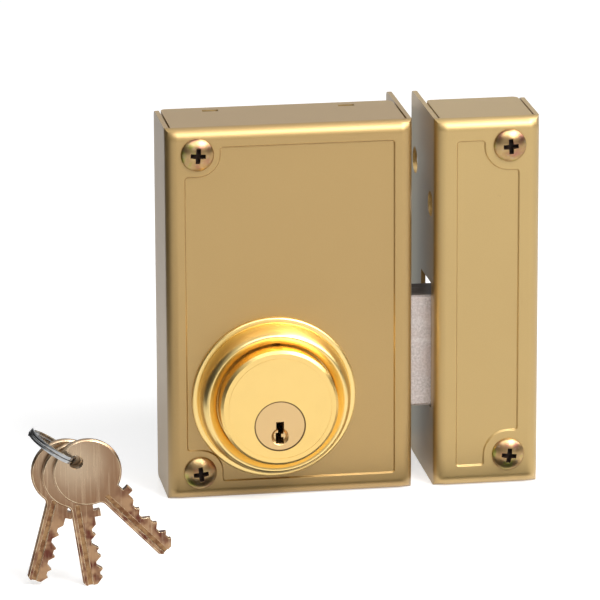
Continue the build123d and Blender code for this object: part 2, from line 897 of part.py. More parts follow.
with BuildPart() as back_plate:
    with BuildSketch(facing(plate_back_y)):
        with Locations((0, case_height / 2)):
            inside = 2 * (sheet + plate_clearance)
            Rectangle(case_width - inside, case_height - inside)
            # The tabs that hook into the slots of the case
            with Locations(*[(x, 0) for x in tab_xs]):
                Rectangle(tab_width, case_height - 2 * tab_sink)
        # The holes of the spacer tubes
        with Locations(*[(case_screw_x, z) for z in case_screw_zs]):
            Circle(spacer_radius + plate_clearance, mode=Mode.SUBTRACT)
        # The hole for the tail of a second cylinder, turned from outside the door
        with Locations((cylinder_x, plug_z)):
            Circle(tail_bore_radius, mode=Mode.SUBTRACT)
        with Locations(*[(bridge_x, z) for z in bridge_rivet_zs], (brake_x, brake_z)):
            Circle(rivet_hole_radius, mode=Mode.SUBTRACT)
        with Locations((stud_x, stud_z)):
            Circle(stud_hole_radius, mode=Mode.SUBTRACT)
    extrude(amount=plate_thickness)
save(back_plate.part, "back_plate")


def bridge_outline(low_z, high_z, front):
    """The side view of a block that stands on the back plate, within these faces."""
    with BuildSketch() as outline:
        with Locations((front, low_z)):
            Rectangle(plate_front_y - front, high_z - low_z, align=(Align.MIN, Align.MIN))
    return outline.sketch


with BuildPart() as bolt_bridge:
    with BuildSketch(Plane.YZ.offset(bridge_x - bridge_width / 2)):
        with Locations((plate_front_y, bridge_bottom_z - bridge_sheet - bridge_foot)):
            Rectangle(
                bridge_sheet,
                bridge_top_z - bridge_bottom_z + 2 * (bridge_sheet + bridge_foot),
                align=(Align.MAX, Align.MIN),
            )
        add(
            bridge_outline(
                bridge_bottom_z - bridge_sheet, bridge_top_z + bridge_sheet, bridge_web_y - bridge_sheet
            )
        )
        add(bridge_outline(bridge_bottom_z, bridge_top_z, bridge_web_y), mode=Mode.SUBTRACT)
    extrude(amount=bridge_width)
    # The bends of the strap
    outer_bends = bolt_bridge.edges().filter_by(Axis.X).group_by(Axis.Y)[0]
    fillet(outer_bends, radius=bridge_bend_radius)
    with BuildSketch(facing(plate_front_y)):
        with Locations(*[(bridge_x, z) for z in bridge_rivet_zs]):
            Circle(rivet_hole_radius)
    extrude(amount=bridge_sheet, mode=Mode.SUBTRACT)
save(bolt_bridge.part, "bolt_bridge")


def rivet(x, z, front, front_height):
    """A rivet through the back plate from this front face, headed at both ends."""
    shoulder_share = 0.6
    top = rivet_head_radius * shoulder_share
    return turned(
        x,
        z,
        [
            (0, front - front_height),
            (top, front - front_height),
            (rivet_head_radius, front),
            (rivet_radius, front),
            (rivet_radius, plate_back_y),
            (rivet_head_radius, plate_back_y),
            (top, plate_back_y + rivet_head_height),
            (0, plate_back_y + rivet_head_height),
        ],
    )


bridge_rivet_parts = [
    rivet(bridge_x, z, plate_front_y - bridge_sheet, rivet_head_height) for z in bridge_rivet_zs
]

with BuildPart() as bridge_rivets:
    add(bridge_rivet_parts)
save(bridge_rivets.part, "bridge_rivets")

save(rivet(brake_x, brake_z, plate_front_y - brake_sheet, brake_head_height), "brake_rivet")

washer_seat_y = tail_front_y - stud_play
washer_top_y = washer_seat_y - guide_washer_thickness
guide_stud = turned(
    stud_x,
    stud_z,
    [
        (0, washer_top_y - stud_head_height),
        (stud_head_radius, washer_top_y - stud_head_height),
        (stud_head_radius, washer_top_y),
        (stud_neck_radius, washer_top_y),
        (stud_neck_radius, washer_seat_y),
        (stud_radius, washer_seat_y),
        (stud_radius, plate_front_y),
        (stud_tail_radius, plate_front_y),
        (stud_tail_radius, plate_back_y),
        (stud_head_radius, plate_back_y),
        (stud_head_radius, plate_back_y + stud_head_height),
        (0, plate_back_y + stud_head_height),
    ],
)
save(guide_stud, "guide_stud")

with BuildPart() as guide_washer:
    with BuildSketch(facing(washer_seat_y)):
        with Locations((stud_x, stud_z)):
            Circle(guide_washer_radius)
            Circle(stud_neck_radius + washer_play, mode=Mode.SUBTRACT)
    extrude(amount=guide_washer_thickness)
save(guide_washer.part, "guide_washer")

# The leaf spring that presses on the back of the bolt's tail
brake_rise = plate_front_y - bolt_back_y - brake_gap - brake_sheet
brake_foot_x = brake_x + brake_foot / 2
brake_arch_x = brake_x - brake_foot / 2

with BuildPart() as brake_spring:
    with BuildSketch(Plane.XY.offset(brake_z - brake_width / 2)):
        with BuildLine():
            crest_x = brake_arch_x - brake_arch / 2
            crest_half = brake_arch * brake_crest_share / 2
            upper = Polyline(
                (brake_foot_x, plate_front_y),
                (brake_arch_x, plate_front_y),
                (crest_x + crest_half, plate_front_y - brake_rise),
                (crest_x - crest_half, plate_front_y - brake_rise),
                (brake_arch_x - brake_arch, plate_front_y),
            )
            lower = Polyline(
                (brake_foot_x, plate_front_y - brake_sheet),
                (brake_arch_x, plate_front_y - brake_sheet),
                (crest_x + crest_half, plate_front_y - brake_sheet - brake_rise),
                (crest_x - crest_half, plate_front_y - brake_sheet - brake_rise),
                (brake_arch_x - brake_arch, plate_front_y - brake_sheet),
            )
            Line(upper @ 0, lower @ 0)
            Line(upper @ 1, lower @ 1)
        make_face()
    extrude(amount=brake_width)
    with BuildSketch(facing(plate_front_y)):
        with Locations((brake_x, brake_z)):
            Circle(rivet_hole_radius)
    extrude(amount=brake_sheet, mode=Mode.SUBTRACT)
save(brake_spring.part, "brake_spring")


# Keys and their split ring

half_blade = blade_height / 2
stop_z = half_blade + stop_rise
cut_xs = [stop_reach + pin_first - plug_recess + i * pin_pitch for i in range(pin_count)]


def key_outline():
    """The outline of a key: its bow's centre is the origin and its tip points along +X."""
    with BuildSketch() as outline:
        Circle(bow_radius)
        Rectangle(key_reach, blade_height, align=(Align.MIN, Align.CENTER))
        with Locations((stop_reach, 0)):
            Rectangle(stop_length, stop_z, align=(Align.MAX, Align.MIN))
        neck = outline.vertices().filter_by(lambda v: abs(v.Y + half_blade) < bow_bevel)
        fillet(neck.sort_by(Axis.X)[0], radius=neck_radius)
        tip = outline.vertices().group_by(Axis.X)[-1].sort_by(Axis.Y)
        chamfer(tip[0], length=tip_bottom_chamfer)
        chamfer(tip[-1], length=tip_top_chamfer)
        # The cuts that lift the pins
        for x, depth in zip(cut_xs, cut_depths):
            height = depth + overrun
            width = cut_flat + 2 * height * tan(radians(cut_flank_angle))
            with Locations((x, half_blade - depth)):
                Trapezoid(
                    width,
                    height,
                    90 - cut_flank_angle,
                    rotation=180,
                    align=(Align.CENTER, Align.MAX),
                    mode=Mode.SUBTRACT,
                )
        with Locations((-bow_hole_offset, 0)):
            Circle(bow_hole_radius, mode=Mode.SUBTRACT)
    return outline.sketch


def key_at(hole_x, y, hole_z, tilt):
    """A key that faces the user at this depth, tilted this far below the horizontal."""
    along = Vector(cos(radians(tilt)), 0, -sin(radians(tilt)))
    centre = Vector(hole_x, y, hole_z) + along * bow_hole_offset
    outline = key_outline()
    with BuildPart() as key:
        with BuildSketch(Plane(origin=centre, x_dir=along, z_dir=(0, -1, 0))):
            add(outline)
        extrude(amount=blade_thickness)
        # The bevel round the bow
        rims = key.edges().filter_by(
            lambda e: abs(e.radius - bow_radius) < bow_bevel if e.geom_type == GeomType.CIRCLE else False
        )
        chamfer(rims, length=bow_bevel)
        # The grooves that pass the wards
        groove_length = key_reach - groove_lead
        for face, side in ((0, 1), (blade_thickness, -1)):
            middle = -front_ward_drop if side < 0 else back_ward_rise
            start = centre + Vector(0, -face, 0)
            with BuildSketch(Plane(origin=start, x_dir=along, z_dir=(0, -1, 0))):
                with Locations((groove_lead, middle)):
                    Rectangle(groove_length, ward_height, align=(Align.MIN, Align.CENTER))
            extrude(amount=side * ward_depth, mode=Mode.SUBTRACT)
    return key.part


def tip_below(tilt):
    """How far the lowest corner of a key lies below the centre of its hole."""
    slope = radians(tilt)
    reach = key_reach + bow_hole_offset
    corners = [
        (reach, -half_blade + tip_bottom_chamfer),
        (reach - tip_bottom_chamfer, -half_blade),
        (reach, half_blade - tip_top_chamfer),
    ]
    return max(x * sin(slope) - y * cos(slope) for x, y in corners)


# The holes of the three keys, each as far to its side as the ring lets it go
key_step = blade_thickness + key_gap
ring_up = Vector(-cos(radians(split_tilt)), 0, sin(radians(split_tilt)))
ring_bow = split_ring_radius - sqrt(split_ring_radius**2 - key_step**2)
ring_z = tip_below(middle_key_tilt)
side_z = ring_z + ring_up.Z * ring_bow
side_x = key_ring_x + ring_up.X * ring_bow
middle_key_y = key_ring_y + blade_thickness / 2
front_hole_x = side_x + key_shift
left_hole_x = side_x - key_shift
front_key = key_at(front_hole_x, middle_key_y - key_step, side_z, front_key_tilt)
middle_key = key_at(key_ring_x, middle_key_y, ring_z, middle_key_tilt)
left_key = key_at(left_hole_x, middle_key_y + key_step, side_z, left_key_tilt)
save(front_key, "front_key")
save(middle_key, "middle_key")
save(left_key, "left_key")

ring_centre = Vector(key_ring_x, key_ring_y, ring_z) + ring_up * split_ring_radius
ring_normal = ring_up.cross(Vector(0, 1, 0))
quarters = 4 * split_turns


def ring_point(angle):
    """A point on the middle line of the split ring's wire, and the direction it runs in."""
    slope = radians(angle)
    climb = split_pitch * (angle - split_start_angle) / 360 - split_pitch * split_turns / 2
    across = Vector(0, 1, 0)
    spot = ring_centre + ring_normal * climb
    spot += (ring_up * -cos(slope) + across * sin(slope)) * split_ring_radius
    run = (ring_up * sin(slope) + across * cos(slope)) * 2 * pi * split_ring_radius
    return spot, (run + ring_normal * split_pitch).normalized()


def biarc(start, start_run, end, end_run):
    """Two arcs that join two points and keep both directions."""
    chord = end - start
    runs = start_run + end_run
    spread = 2 * (1 - start_run.dot(end_run))
    pull = sqrt(chord.dot(runs) ** 2 + spread * chord.dot(chord)) - chord.dot(runs)
    first = start + start_run * (pull / spread)
    last = end - end_run * (pull / spread)
    middle = (first + last) / 2
    return [
        Edge.make_tangent_arc(start, start_run, middle),
        Edge.make_tangent_arc(middle, last - first, end),
    ]


ring_arcs = []
for quarter in range(quarters):
    start, start_run = ring_point(split_start_angle + 90 * quarter)
    end, end_run = ring_point(split_start_angle + 90 * (quarter + 1))
    ring_arcs += biarc(start, start_run, end, end_run)

with BuildPart() as split_ring:
    with BuildLine() as wire_path:
        add(ring_arcs)
    with BuildSketch(Plane(origin=wire_path.line @ 0, z_dir=wire_path.line % 0)):
        Circle(split_wire_radius)
    sweep(path=wire_path.line)
save(split_ring.part, "split_ring")

# The least gap between one turn of the wire and the next, measured on its middle line
steps = 72 * split_turns
spots = [ring_point(split_start_angle + 5 * i)[0] for i in range(steps + 1)]
least = min(
    (spots[i] - spots[j]).length for i in range(steps + 1) for j in range(i + 36, steps + 1)
)
print(f"split ring: least gap between turns {least - 2 * split_wire_radius:.3f} mm")
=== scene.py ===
# %% [markdown]
# A rim box lock, dressed in Blender.
#
# The solids of the lock come from its construction model: folded cases, cylinder,
# bolt, screws and keys, each piece a node at its real place. Here they get their
# finishes, their finer forms, the light and the camera. Lengths are metres.

import json
from math import asin, cos, pi, radians, sin, tan

import bmesh
import bpy
from mathutils import Matrix, Vector


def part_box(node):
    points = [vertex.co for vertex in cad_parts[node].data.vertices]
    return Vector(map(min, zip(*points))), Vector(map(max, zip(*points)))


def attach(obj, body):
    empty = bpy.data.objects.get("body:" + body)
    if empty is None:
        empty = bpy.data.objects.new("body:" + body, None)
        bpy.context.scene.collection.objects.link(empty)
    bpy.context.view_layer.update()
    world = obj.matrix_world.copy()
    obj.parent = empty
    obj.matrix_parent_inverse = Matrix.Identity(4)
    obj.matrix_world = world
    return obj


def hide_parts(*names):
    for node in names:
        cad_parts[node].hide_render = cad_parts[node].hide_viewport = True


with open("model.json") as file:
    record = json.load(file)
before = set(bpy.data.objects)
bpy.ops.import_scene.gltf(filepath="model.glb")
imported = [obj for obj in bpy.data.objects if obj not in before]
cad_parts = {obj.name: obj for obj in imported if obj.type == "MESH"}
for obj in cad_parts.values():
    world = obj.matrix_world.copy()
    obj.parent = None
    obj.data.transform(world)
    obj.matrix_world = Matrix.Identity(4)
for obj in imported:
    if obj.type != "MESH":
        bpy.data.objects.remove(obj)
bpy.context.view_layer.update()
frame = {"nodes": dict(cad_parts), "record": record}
nodes = frame["nodes"]
MM = 0.001

# %% [markdown]
# The camera stands where the photograph was taken from: about a metre and a half
# in front, a little to the left and looking down. A long lens keeps the edges of
# the cases nearly parallel. It could be aimed by eye with a Track To constraint,
# but a heading, a pitch and a small roll say exactly the same thing and are easy
# to read back from the picture.

# %% Camera
CAMERA_PLACE = Vector((-240.2, -1600.2, 512.5)) * MM
CAMERA_HEADING = 8.724
CAMERA_PITCH = 15.538
CAMERA_ROLL = 0.244
CAMERA_LENS = 306.8
SENSOR = 36


def aim(place, heading, pitch, roll=0.0):
    """The matrix of a camera or lamp that looks along +Y, turned right, tipped and rolled."""
    turn = Matrix.Rotation(radians(-heading), 4, "Z")
    tip = Matrix.Rotation(radians(90 - pitch), 4, "X")
    spin = Matrix.Rotation(radians(-roll), 4, "Z")
    return Matrix.Translation(place) @ turn @ tip @ spin


scene = bpy.context.scene
scene.view_settings.view_transform = "Standard"
lens = bpy.data.cameras.new("camera")
lens.lens = CAMERA_LENS
lens.sensor_width = SENSOR
lens.clip_end = 20
camera = bpy.data.objects.new("camera", lens)
camera.matrix_world = aim(CAMERA_PLACE, CAMERA_HEADING, CAMERA_PITCH, CAMERA_ROLL)
scene.collection.objects.link(camera)
scene.camera = camera
print(f"camera {camera.location.length:.2f} m from the lock")

# %% [markdown]
# Shader maths reads best as plain arithmetic. A small class wraps an output
# socket, so that `1 - mask * 0.5` adds the Math nodes by itself, and one method
# adds any other node: first its settings, then what goes into its sockets.

# %% Arithmetic on sockets
class Signal:
    """A number, colour or vector that comes out of a node."""

    def __init__(self, sheet, socket):
        self.sheet = sheet
        self.socket = socket

    def math(self, operation, *values, clamp=False):
        settings = {"operation": operation, "use_clamp": clamp}
        return self.sheet.node("ShaderNodeMath", settings, dict(enumerate(values)))

    def __add__(self, other):
        return self.math("ADD", self, other)

    __radd__ = __add__

    def __sub__(self, other):
        return self.math("SUBTRACT", self, other)

    def __rsub__(self, other):
        return self.math("SUBTRACT", other, self)

    def __mul__(self, other):
        return self.math("MULTIPLY", self, other)

    __rmul__ = __mul__

    def clamped(self):
        return self.math("ADD", self, 0.0, clamp=True)

    def between(self, low, high):
        """0 below low, 1 above high, smooth in between."""
        settings = {"interpolation_type": "SMOOTHSTEP"}
        sockets = {"Value": self, "From Min": low, "From Max": high}
        return self.sheet.node("ShaderNodeMapRange", settings, sockets)


class Sheet:
    """A node tree that nodes are added to."""

    def __init__(self, tree):
        self.tree = tree

    def node(self, kind, settings, sockets, output=0):
        """Adds a node and gives its output: settings first, then values or links."""
        made = self.tree.nodes.new(kind)
        for name, value in settings.items():
            if name == "stops":
                self.stops(made.color_ramp.elements, value)
            else:
                setattr(made, name, value)
        for name, value in sockets.items():
            self.plug(made.inputs[name], value)
        return Signal(self, made.outputs[output])

    def stops(self, elements, stops):
        while len(elements) < len(stops):
            elements.new(1.0)
        for element, (place, colour) in zip(elements, stops):
            element.position = place
            element.color = (*colour, 1.0)

    def plug(self, socket, value):
        if isinstance(value, Signal):
            self.tree.links.new(value.socket, socket)
        elif isinstance(value, tuple) and len(value) == 3 and socket.type == "RGBA":
            socket.default_value = (*value, 1.0)
        else:
            socket.default_value = value

    def mix(self, share, first, second):
        sockets = {0: share, 6: first, 7: second}
        return self.node("ShaderNodeMix", {"data_type": "RGBA"}, sockets, 2)

    def ramp(self, value, *stops):
        return self.node("ShaderNodeValToRGB", {"stops": stops}, {"Fac": value})

    def seen(self):
        """1 for what the camera sees, directly or in a reflection."""
        names = [f"Is {kind} Ray" for kind in ("Camera", "Glossy", "Transmission")]
        rays = [self.node("ShaderNodeLightPath", {}, {}, name) for name in names]
        return (rays[0] + rays[1] + rays[2]).clamped()


class Finish(Sheet):
    """A material, built node by node."""

    def __init__(self, name, **surface):
        self.material = bpy.data.materials.new(name)
        self.material.use_nodes = True
        super().__init__(self.material.node_tree)
        self.shader = self.tree.nodes["Principled BSDF"]
        self.set(**surface)
        self.place = self.node("ShaderNodeTexCoord", {}, {}, "Object")

    def set(self, **surface):
        """Sets sockets of the shader: base_color is its socket Base Color, and so on."""
        for name, value in surface.items():
            title = name.replace("_", " ").title().replace("Ior", "IOR")
            self.plug(self.shader.inputs[title], value)

    def noise(self, scale, detail=2.0, roughness=0.5, stretch=(1, 1, 1), turn=(0, 0, 0)):
        """Noise over the object, with this many cells to the metre."""
        sockets = {"Vector": self.place, "Rotation": turn, "Scale": stretch}
        where = self.node("ShaderNodeMapping", {}, sockets)
        sockets = {"Vector": where, "Scale": scale, "Detail": detail, "Roughness": roughness}
        return self.node("ShaderNodeTexNoise", {}, sockets)

    def far_from(self, centre, along=(1, 1, 1)):
        """The distance from a point, or from an axis where along leaves a direction out."""
        kind = "ShaderNodeVectorMath"
        gap = self.node(kind, {"operation": "SUBTRACT"}, {0: self.place, 1: centre})
        flat = self.node(kind, {"operation": "MULTIPLY"}, {0: gap, 1: along})
        return self.node(kind, {"operation": "LENGTH"}, {0: flat}, 1)

    def rings(self, centre, scale, detail=3.0):
        """Fine rings round an axis along Y, as a lathe tool leaves them."""
        sockets = {"W": self.far_from(centre, (1, 0, 1)), "Scale": scale, "Detail": detail}
        return self.node("ShaderNodeTexNoise", {"noise_dimensions": "1D"}, sockets)

    def bump(self, height, strength, distance, below=None):
        sockets = {"Height": height, "Strength": strength, "Distance": distance}
        if below is not None:
            sockets["Normal"] = below
        return self.node("ShaderNodeBump", {}, sockets)

    def dress(self, *things, add=False):
        for thing in things:
            slots = thing.data.materials
            if slots and not add:
                slots.clear()
            slots.append(self.material)
        names = ", ".join(thing.name for thing in things)
        print(f"{self.material.name}: {names}")


def grey(value):
    return (value, value, value)


# %% [markdown]
# The studio is a white sweep under soft lamps. The floor has to be white to the
# camera and still keep the shadow of the lock, so part of its white is its own
# light, which only the camera, mirrors and glass see, and the rest is what the
# lamps give it. A reflection gets less of that own light than the camera does, or
# the upright faces, which mirror the floor, would come out too pale.
#
# Three cards near the lock show in reflections alone, like the flags that a
# photographer sets up. Two are black and draw dark edges, the third is grey blue
# and tints the flange in the gap. Darker paint could do this too, but the faces
# would then stay dark from every side.

# %% Floor and flags
FLOOR_HALF = 3.0
FLOOR_GLOW = 0.6
MIRROR_GLOW = 0.31
FLOOR_SHADE = 0.8
FLAG_SHADE = 0.02
FLAGS = {
    # name: (own light, place, turn and its axis, length, width)
    "left_flag": (grey(0.0), (-0.15, 0.075, 0.1), 90, "Y", 0.2, 0.26),
    "low_flag": (grey(0.0), (0.02, -0.0225, 0.0003), 0, "Y", 0.13, 0.012),
    "gap_flag": ((0.36, 0.42, 0.47), (0.03, 0.045, 0.058), 90, "X", 0.09, 0.115),
}


def make_floor():
    bpy.ops.mesh.primitive_plane_add(size=2 * FLOOR_HALF)
    floor = bpy.context.object
    floor.name = "floor"
    white = Finish("floor", base_color=grey(FLOOR_SHADE), roughness=0.22, specular_ior_level=0.3)
    camera_ray = white.node("ShaderNodeLightPath", {}, {}, "Is Camera Ray")
    glow = camera_ray * (FLOOR_GLOW - MIRROR_GLOW) + white.seen() * MIRROR_GLOW
    white.set(emission_color=white.mix(glow, grey(0.0), grey(1.0)), emission_strength=1.0)
    white.dress(floor)


def make_flags():
    """Cards that show in reflections alone."""
    for name, (glow, place, turn, axis, length, width) in FLAGS.items():
        bpy.ops.mesh.primitive_plane_add(size=1)
        card = bpy.context.object
        card.name = name
        card.data.transform(Matrix.Diagonal((length, width, 1, 1)))
        card.data.transform(Matrix.Rotation(radians(turn), 4, axis))
        card.location = place
        card.visible_camera = card.visible_shadow = card.visible_diffuse = False
        paper = Finish(name, base_color=grey(FLAG_SHADE), roughness=0.9)
        paper.set(emission_color=glow, emission_strength=1.0)
        paper.dress(card)


make_floor()
make_flags()

# %% [markdown]
# Brass looks like brass only when the room that it reflects has light and dark in
# it. Reflections see a dim wall, a pale sky, a lit backdrop behind the lock, some
# light behind the camera, and one small bright window to the upper right for the
# highlight of the rosette. The camera sees plain white, and dull surfaces are lit
# by one even grey all round and by two area lamps. The stronger lamp stands on the
# right, so the soft shadow falls to the left.

# %% World and lamps
WORLD_LIGHT = 0.12
WALL_LIGHT = 0.05
FRONT_LIGHT = 0.42
GLINT_LIGHT = 4.5
GLINT_SIDE = (0.68, 0.0, 0.733)
SKY_LIGHT = 0.6
BACKDROP_LIGHT = 0.58
# Where each of them starts and where it is full, as a share of its direction
SKY_RISE = (0.3, 0.75)
BACKDROP_RISE = (0.6, 0.9)
FRONT_RISE = (0.55, 0.95)
GLINT_RISE = (0.86, 0.95)
LAMPS = {
    # name: (place, heading, pitch, width, height, watts)
    "key_softbox": ((0.78, -1.0, 1.3), -38, 45, 0.9, 0.7, 24),
    "top_softbox": ((0.0, -0.8, 1.2), 0, 56, 1.3, 0.62, 9),
}


def make_world():
    world = bpy.data.worlds.new("studio")
    world.use_nodes = True
    scene.world = world
    room = Sheet(world.node_tree)
    direction = room.node("ShaderNodeTexCoord", {}, {}, "Generated")
    way = {"Vector": direction}
    split = [room.node("ShaderNodeSeparateXYZ", {}, way, axis) for axis in "XYZ"]
    height = split[2].between(*SKY_RISE)
    behind = split[1].between(*BACKDROP_RISE) * (1 - height)
    ahead = (0 - split[1]).between(*FRONT_RISE) * (1 - height)
    room_light = height * (SKY_LIGHT - WALL_LIGHT) + WALL_LIGHT
    room_light += behind * (BACKDROP_LIGHT - WALL_LIGHT) + ahead * (FRONT_LIGHT - WALL_LIGHT)
    toward = {0: direction, 1: GLINT_SIDE}
    glint = room.node("ShaderNodeVectorMath", {"operation": "DOT_PRODUCT"}, toward, 1)
    room_light += glint.between(*GLINT_RISE) * GLINT_LIGHT
    camera_ray = room.node("ShaderNodeLightPath", {}, {}, "Is Camera Ray")
    mirror = (room.seen() - camera_ray).clamped()
    strength = camera_ray + mirror * room_light + (1 - room.seen()) * WORLD_LIGHT
    back = room.tree.nodes["Background"]
    room.plug(back.inputs["Color"], grey(1.0))
    room.plug(back.inputs["Strength"], strength)


def make_lamps():
    for name, (place, heading, pitch, width, height, watts) in LAMPS.items():
        light = bpy.data.lights.new(name, "AREA")
        light.shape = "RECTANGLE"
        light.size, light.size_y = width, height
        light.energy = watts
        lamp = bpy.data.objects.new(name, light)
        lamp.matrix_world = aim(Vector(place), heading, pitch)
        scene.collection.objects.link(lamp)
        print(f"{name}: {watts} W")


make_world()
make_lamps()

# %% [markdown]
# Pressed and machined pieces never have knife edges, and it is the thin bright
# line along an edge that makes metal look real. A Bevel node would only fake it
# in the shading. Here a copy of the solid gets its split corners merged and its
# flat faces joined again, then a narrow bevel on every sharp edge. Weighted
# normals keep the wide faces flat between the rounded edges.
#
# The folded cases get two things more. A press rounds the corner where three
# bends meet, while the solids keep a mitre there, so the sheet is cut at its bends
# and the mitres are drawn in towards a ball. And the edges of the sunk panels are
# wider than other edges, so they get a bevel of their own, by weight.

# %% Softened copies of solids
BEND = 4 * MM
# Only the outer skin of a bend, from this share of its radius on, is drawn in
OUTER_SHARE = 0.9
TOUCH = 0.01 * MM
MERGE = 0.002 * MM
SLIVER = 0.001 * MM
FLAT_ANGLE = 0.5
PRESS_DEPTH = 0.8 * MM
PRESS_ANGLE = 45
PRESS_WIDTH = 0.3 * MM
PRESS_ROUNDS = 4


def mesh_of(shape, name):
    """The finished mesh of a shape."""
    mesh = bpy.data.meshes.new(name)
    shape.to_mesh(mesh)
    shape.free()
    return mesh


def show(name, mesh):
    """A new object in the scene."""
    thing = bpy.data.objects.new(name, mesh)
    scene.collection.objects.link(thing)
    return thing


def skin(shape, rows):
    """Lays faces between each row of corners and the next. A row of one corner is a tip."""
    for first, second in zip(rows, rows[1:]):
        sides = max(len(first), len(second))
        for side in range(sides):
            other = (side + 1) % sides
            corners = [first[side % len(first)], first[other % len(first)]]
            corners += [second[other % len(second)], second[side % len(second)]]
            shape.faces.new(list(dict.fromkeys(corners)))


def body_of(node):
    """The body that a node of the construction model rides on."""
    bodies = frame["record"]["behaviour"]["bodies"]
    return next(body for body, members in bodies.items() if node in members)


def stand_in(piece, node):
    """A finer piece that stands for a node and rides on its body."""
    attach(piece, body_of(node))
    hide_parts(node)


def plain_mesh(name, source):
    """A clean copy of a mesh: corners merged, flat faces whole."""
    shape = bmesh.new()
    shape.from_mesh(source)
    bmesh.ops.remove_doubles(shape, verts=shape.verts, dist=MERGE)
    flat = radians(FLAT_ANGLE)
    bmesh.ops.dissolve_limit(shape, angle_limit=flat, verts=shape.verts, edges=shape.edges)
    mesh = mesh_of(shape, name)
    if "custom_normal" in mesh.attributes:
        mesh.attributes.remove(mesh.attributes["custom_normal"])
    return mesh


def finish_edges(thing, width, sharp_angle=32, rounds=2):
    """Rounds the sharp edges of a piece and keeps its faces flat."""
    thing.data.shade_smooth()
    bevel = thing.modifiers.new("edges", "BEVEL")
    bevel.width = width
    bevel.segments = rounds
    bevel.limit_method = "ANGLE"
    bevel.angle_limit = radians(sharp_angle)
    bevel.use_clamp_overlap = True
    normals = thing.modifiers.new("faces", "WEIGHTED_NORMAL")
    normals.keep_sharp = True


def round_corners(piece):
    """Draws the mitred corners of a folded front in towards a ball."""
    corners = piece.data.vertices
    low = Vector(min(c.co[i] for c in corners) for i in range(3))
    high = Vector(max(c.co[i] for c in corners) for i in range(3))
    core_low, core_high = low + Vector((BEND,) * 3), high - Vector((BEND,) * 3)
    shape = bmesh.new()
    shape.from_mesh(piece.data)
    bends = [(0, core_low), (0, core_high), (2, core_low), (2, core_high), (1, core_low)]
    for axis, place in bends:
        side = Vector(float(i == axis) for i in range(3))
        whole = list(shape.verts) + list(shape.edges) + list(shape.faces)
        bmesh.ops.bisect_plane(shape, geom=whole, dist=SLIVER, plane_co=place, plane_no=side)
    moved = 0
    for corner in shape.verts:
        spot = corner.co
        inside = Vector(min(max(spot[i], core_low[i]), core_high[i]) for i in range(3))
        away = spot - inside
        in_corner = min(abs(away.x), abs(away.z)) > TOUCH and away.y < -TOUCH
        if in_corner and away.length > OUTER_SHARE * BEND:
            share = -away.y / BEND
            corner.co = spot + (inside + away.normalized() * BEND - spot) * share
            moved += 1
    shape.to_mesh(piece.data)
    shape.free()
    print(f"{piece.name}: {moved} corners rounded")


def press_lines(piece):
    """Gives the edges of a sunk panel a wider rounding, as a press tool leaves them."""
    front = min(corner.co.y for corner in piece.data.vertices)
    shape = bmesh.new()
    shape.from_mesh(piece.data)
    weight = shape.edges.layers.float.new("bevel_weight_edge")
    for edge in shape.edges:
        near = all(corner.co.y < front + PRESS_DEPTH for corner in edge.verts)
        steep = edge.calc_face_angle(0.0) > radians(PRESS_ANGLE)
        edge[weight] = 1.0 if near and steep else 0.0
    marked = sum(edge[weight] > 0 for edge in shape.edges)
    shape.to_mesh(piece.data)
    shape.free()
    bevel = piece.modifiers.new("press_lines", "BEVEL")
    bevel.width = PRESS_WIDTH
    bevel.segments = PRESS_ROUNDS
    bevel.limit_method = "WEIGHT"
    piece.modifiers.move(len(piece.modifiers) - 1, 0)
    print(f"{piece.name}: {marked} pressed edges")


def softened(node, width, sharp_angle=32, rounds=2):
    """A copy of a node with its edges rounded."""
    piece = show(f"{node}_softened", plain_mesh(node, nodes[node].data))
    finish_edges(piece, width, sharp_angle, rounds)
    stand_in(piece, node)
    print(f"{piece.name}: {len(piece.data.vertices)} corners before its edges")
    return piece


# %% [markdown]
# The wood screws that hold the cases have pan heads with a cross recess and a
# rolled thread. In the construction model the thread is a stack of grooves. Here
# one surface is laid round the screw row by row, and the radius of a row depends
# on its angle, which winds the thread into a real helix. The recess is then cut
# out of the head, and all edges of the head are rounded a little.

# %% Screws
# In millimetres, because the screw is scaled when it is placed
HEAD_RADIUS, HEAD_HEIGHT, HEAD_RIM = 5.4, 2.7, 0.6
SHANK_RADIUS, ROOT_RADIUS = 2.5, 1.85
SCREW_LENGTH, TIP_LENGTH, THREAD_LENGTH, THREAD_PITCH = 44.0, 5.0, 22.0, 2.2
RECESS_SPAN, RECESS_SLOT, RECESS_DEPTH, RECESS_TAPER = 5.1, 1.6, 2.0, 12
HEAD_DOME = HEAD_HEIGHT - HEAD_RIM
HEAD_BALL = (HEAD_RADIUS**2 + HEAD_DOME**2) / (2 * HEAD_DOME)
HEAD_STEPS = 10
ROUND_OFF = 0.3
SCREW_SIDES = 48
ROWS_PER_TURN = 8
RIDGE_SLOPE = 1.6
CUTTER_RISE = 1
SKIN_DEPTH = 0.1


def head_rows():
    """The domed head from its top to the shank: rows of y and radius."""
    widest = asin(HEAD_RADIUS / HEAD_BALL)
    rows = []
    for step in range(1, HEAD_STEPS):
        angle = widest * step / HEAD_STEPS
        rows.append((HEAD_BALL * (1 - cos(angle)) - HEAD_HEIGHT, HEAD_BALL * sin(angle)))
    rows.append((-HEAD_RIM - ROUND_OFF / 6, HEAD_RADIUS - ROUND_OFF / 3))
    rows.append((-HEAD_RIM + ROUND_OFF, HEAD_RADIUS))
    rows += [(-ROUND_OFF / 2, HEAD_RADIUS), (0.0, HEAD_RADIUS - ROUND_OFF / 2)]
    rows += [(0.0, SHANK_RADIUS + ROUND_OFF), (ROUND_OFF, SHANK_RADIUS)]
    return rows


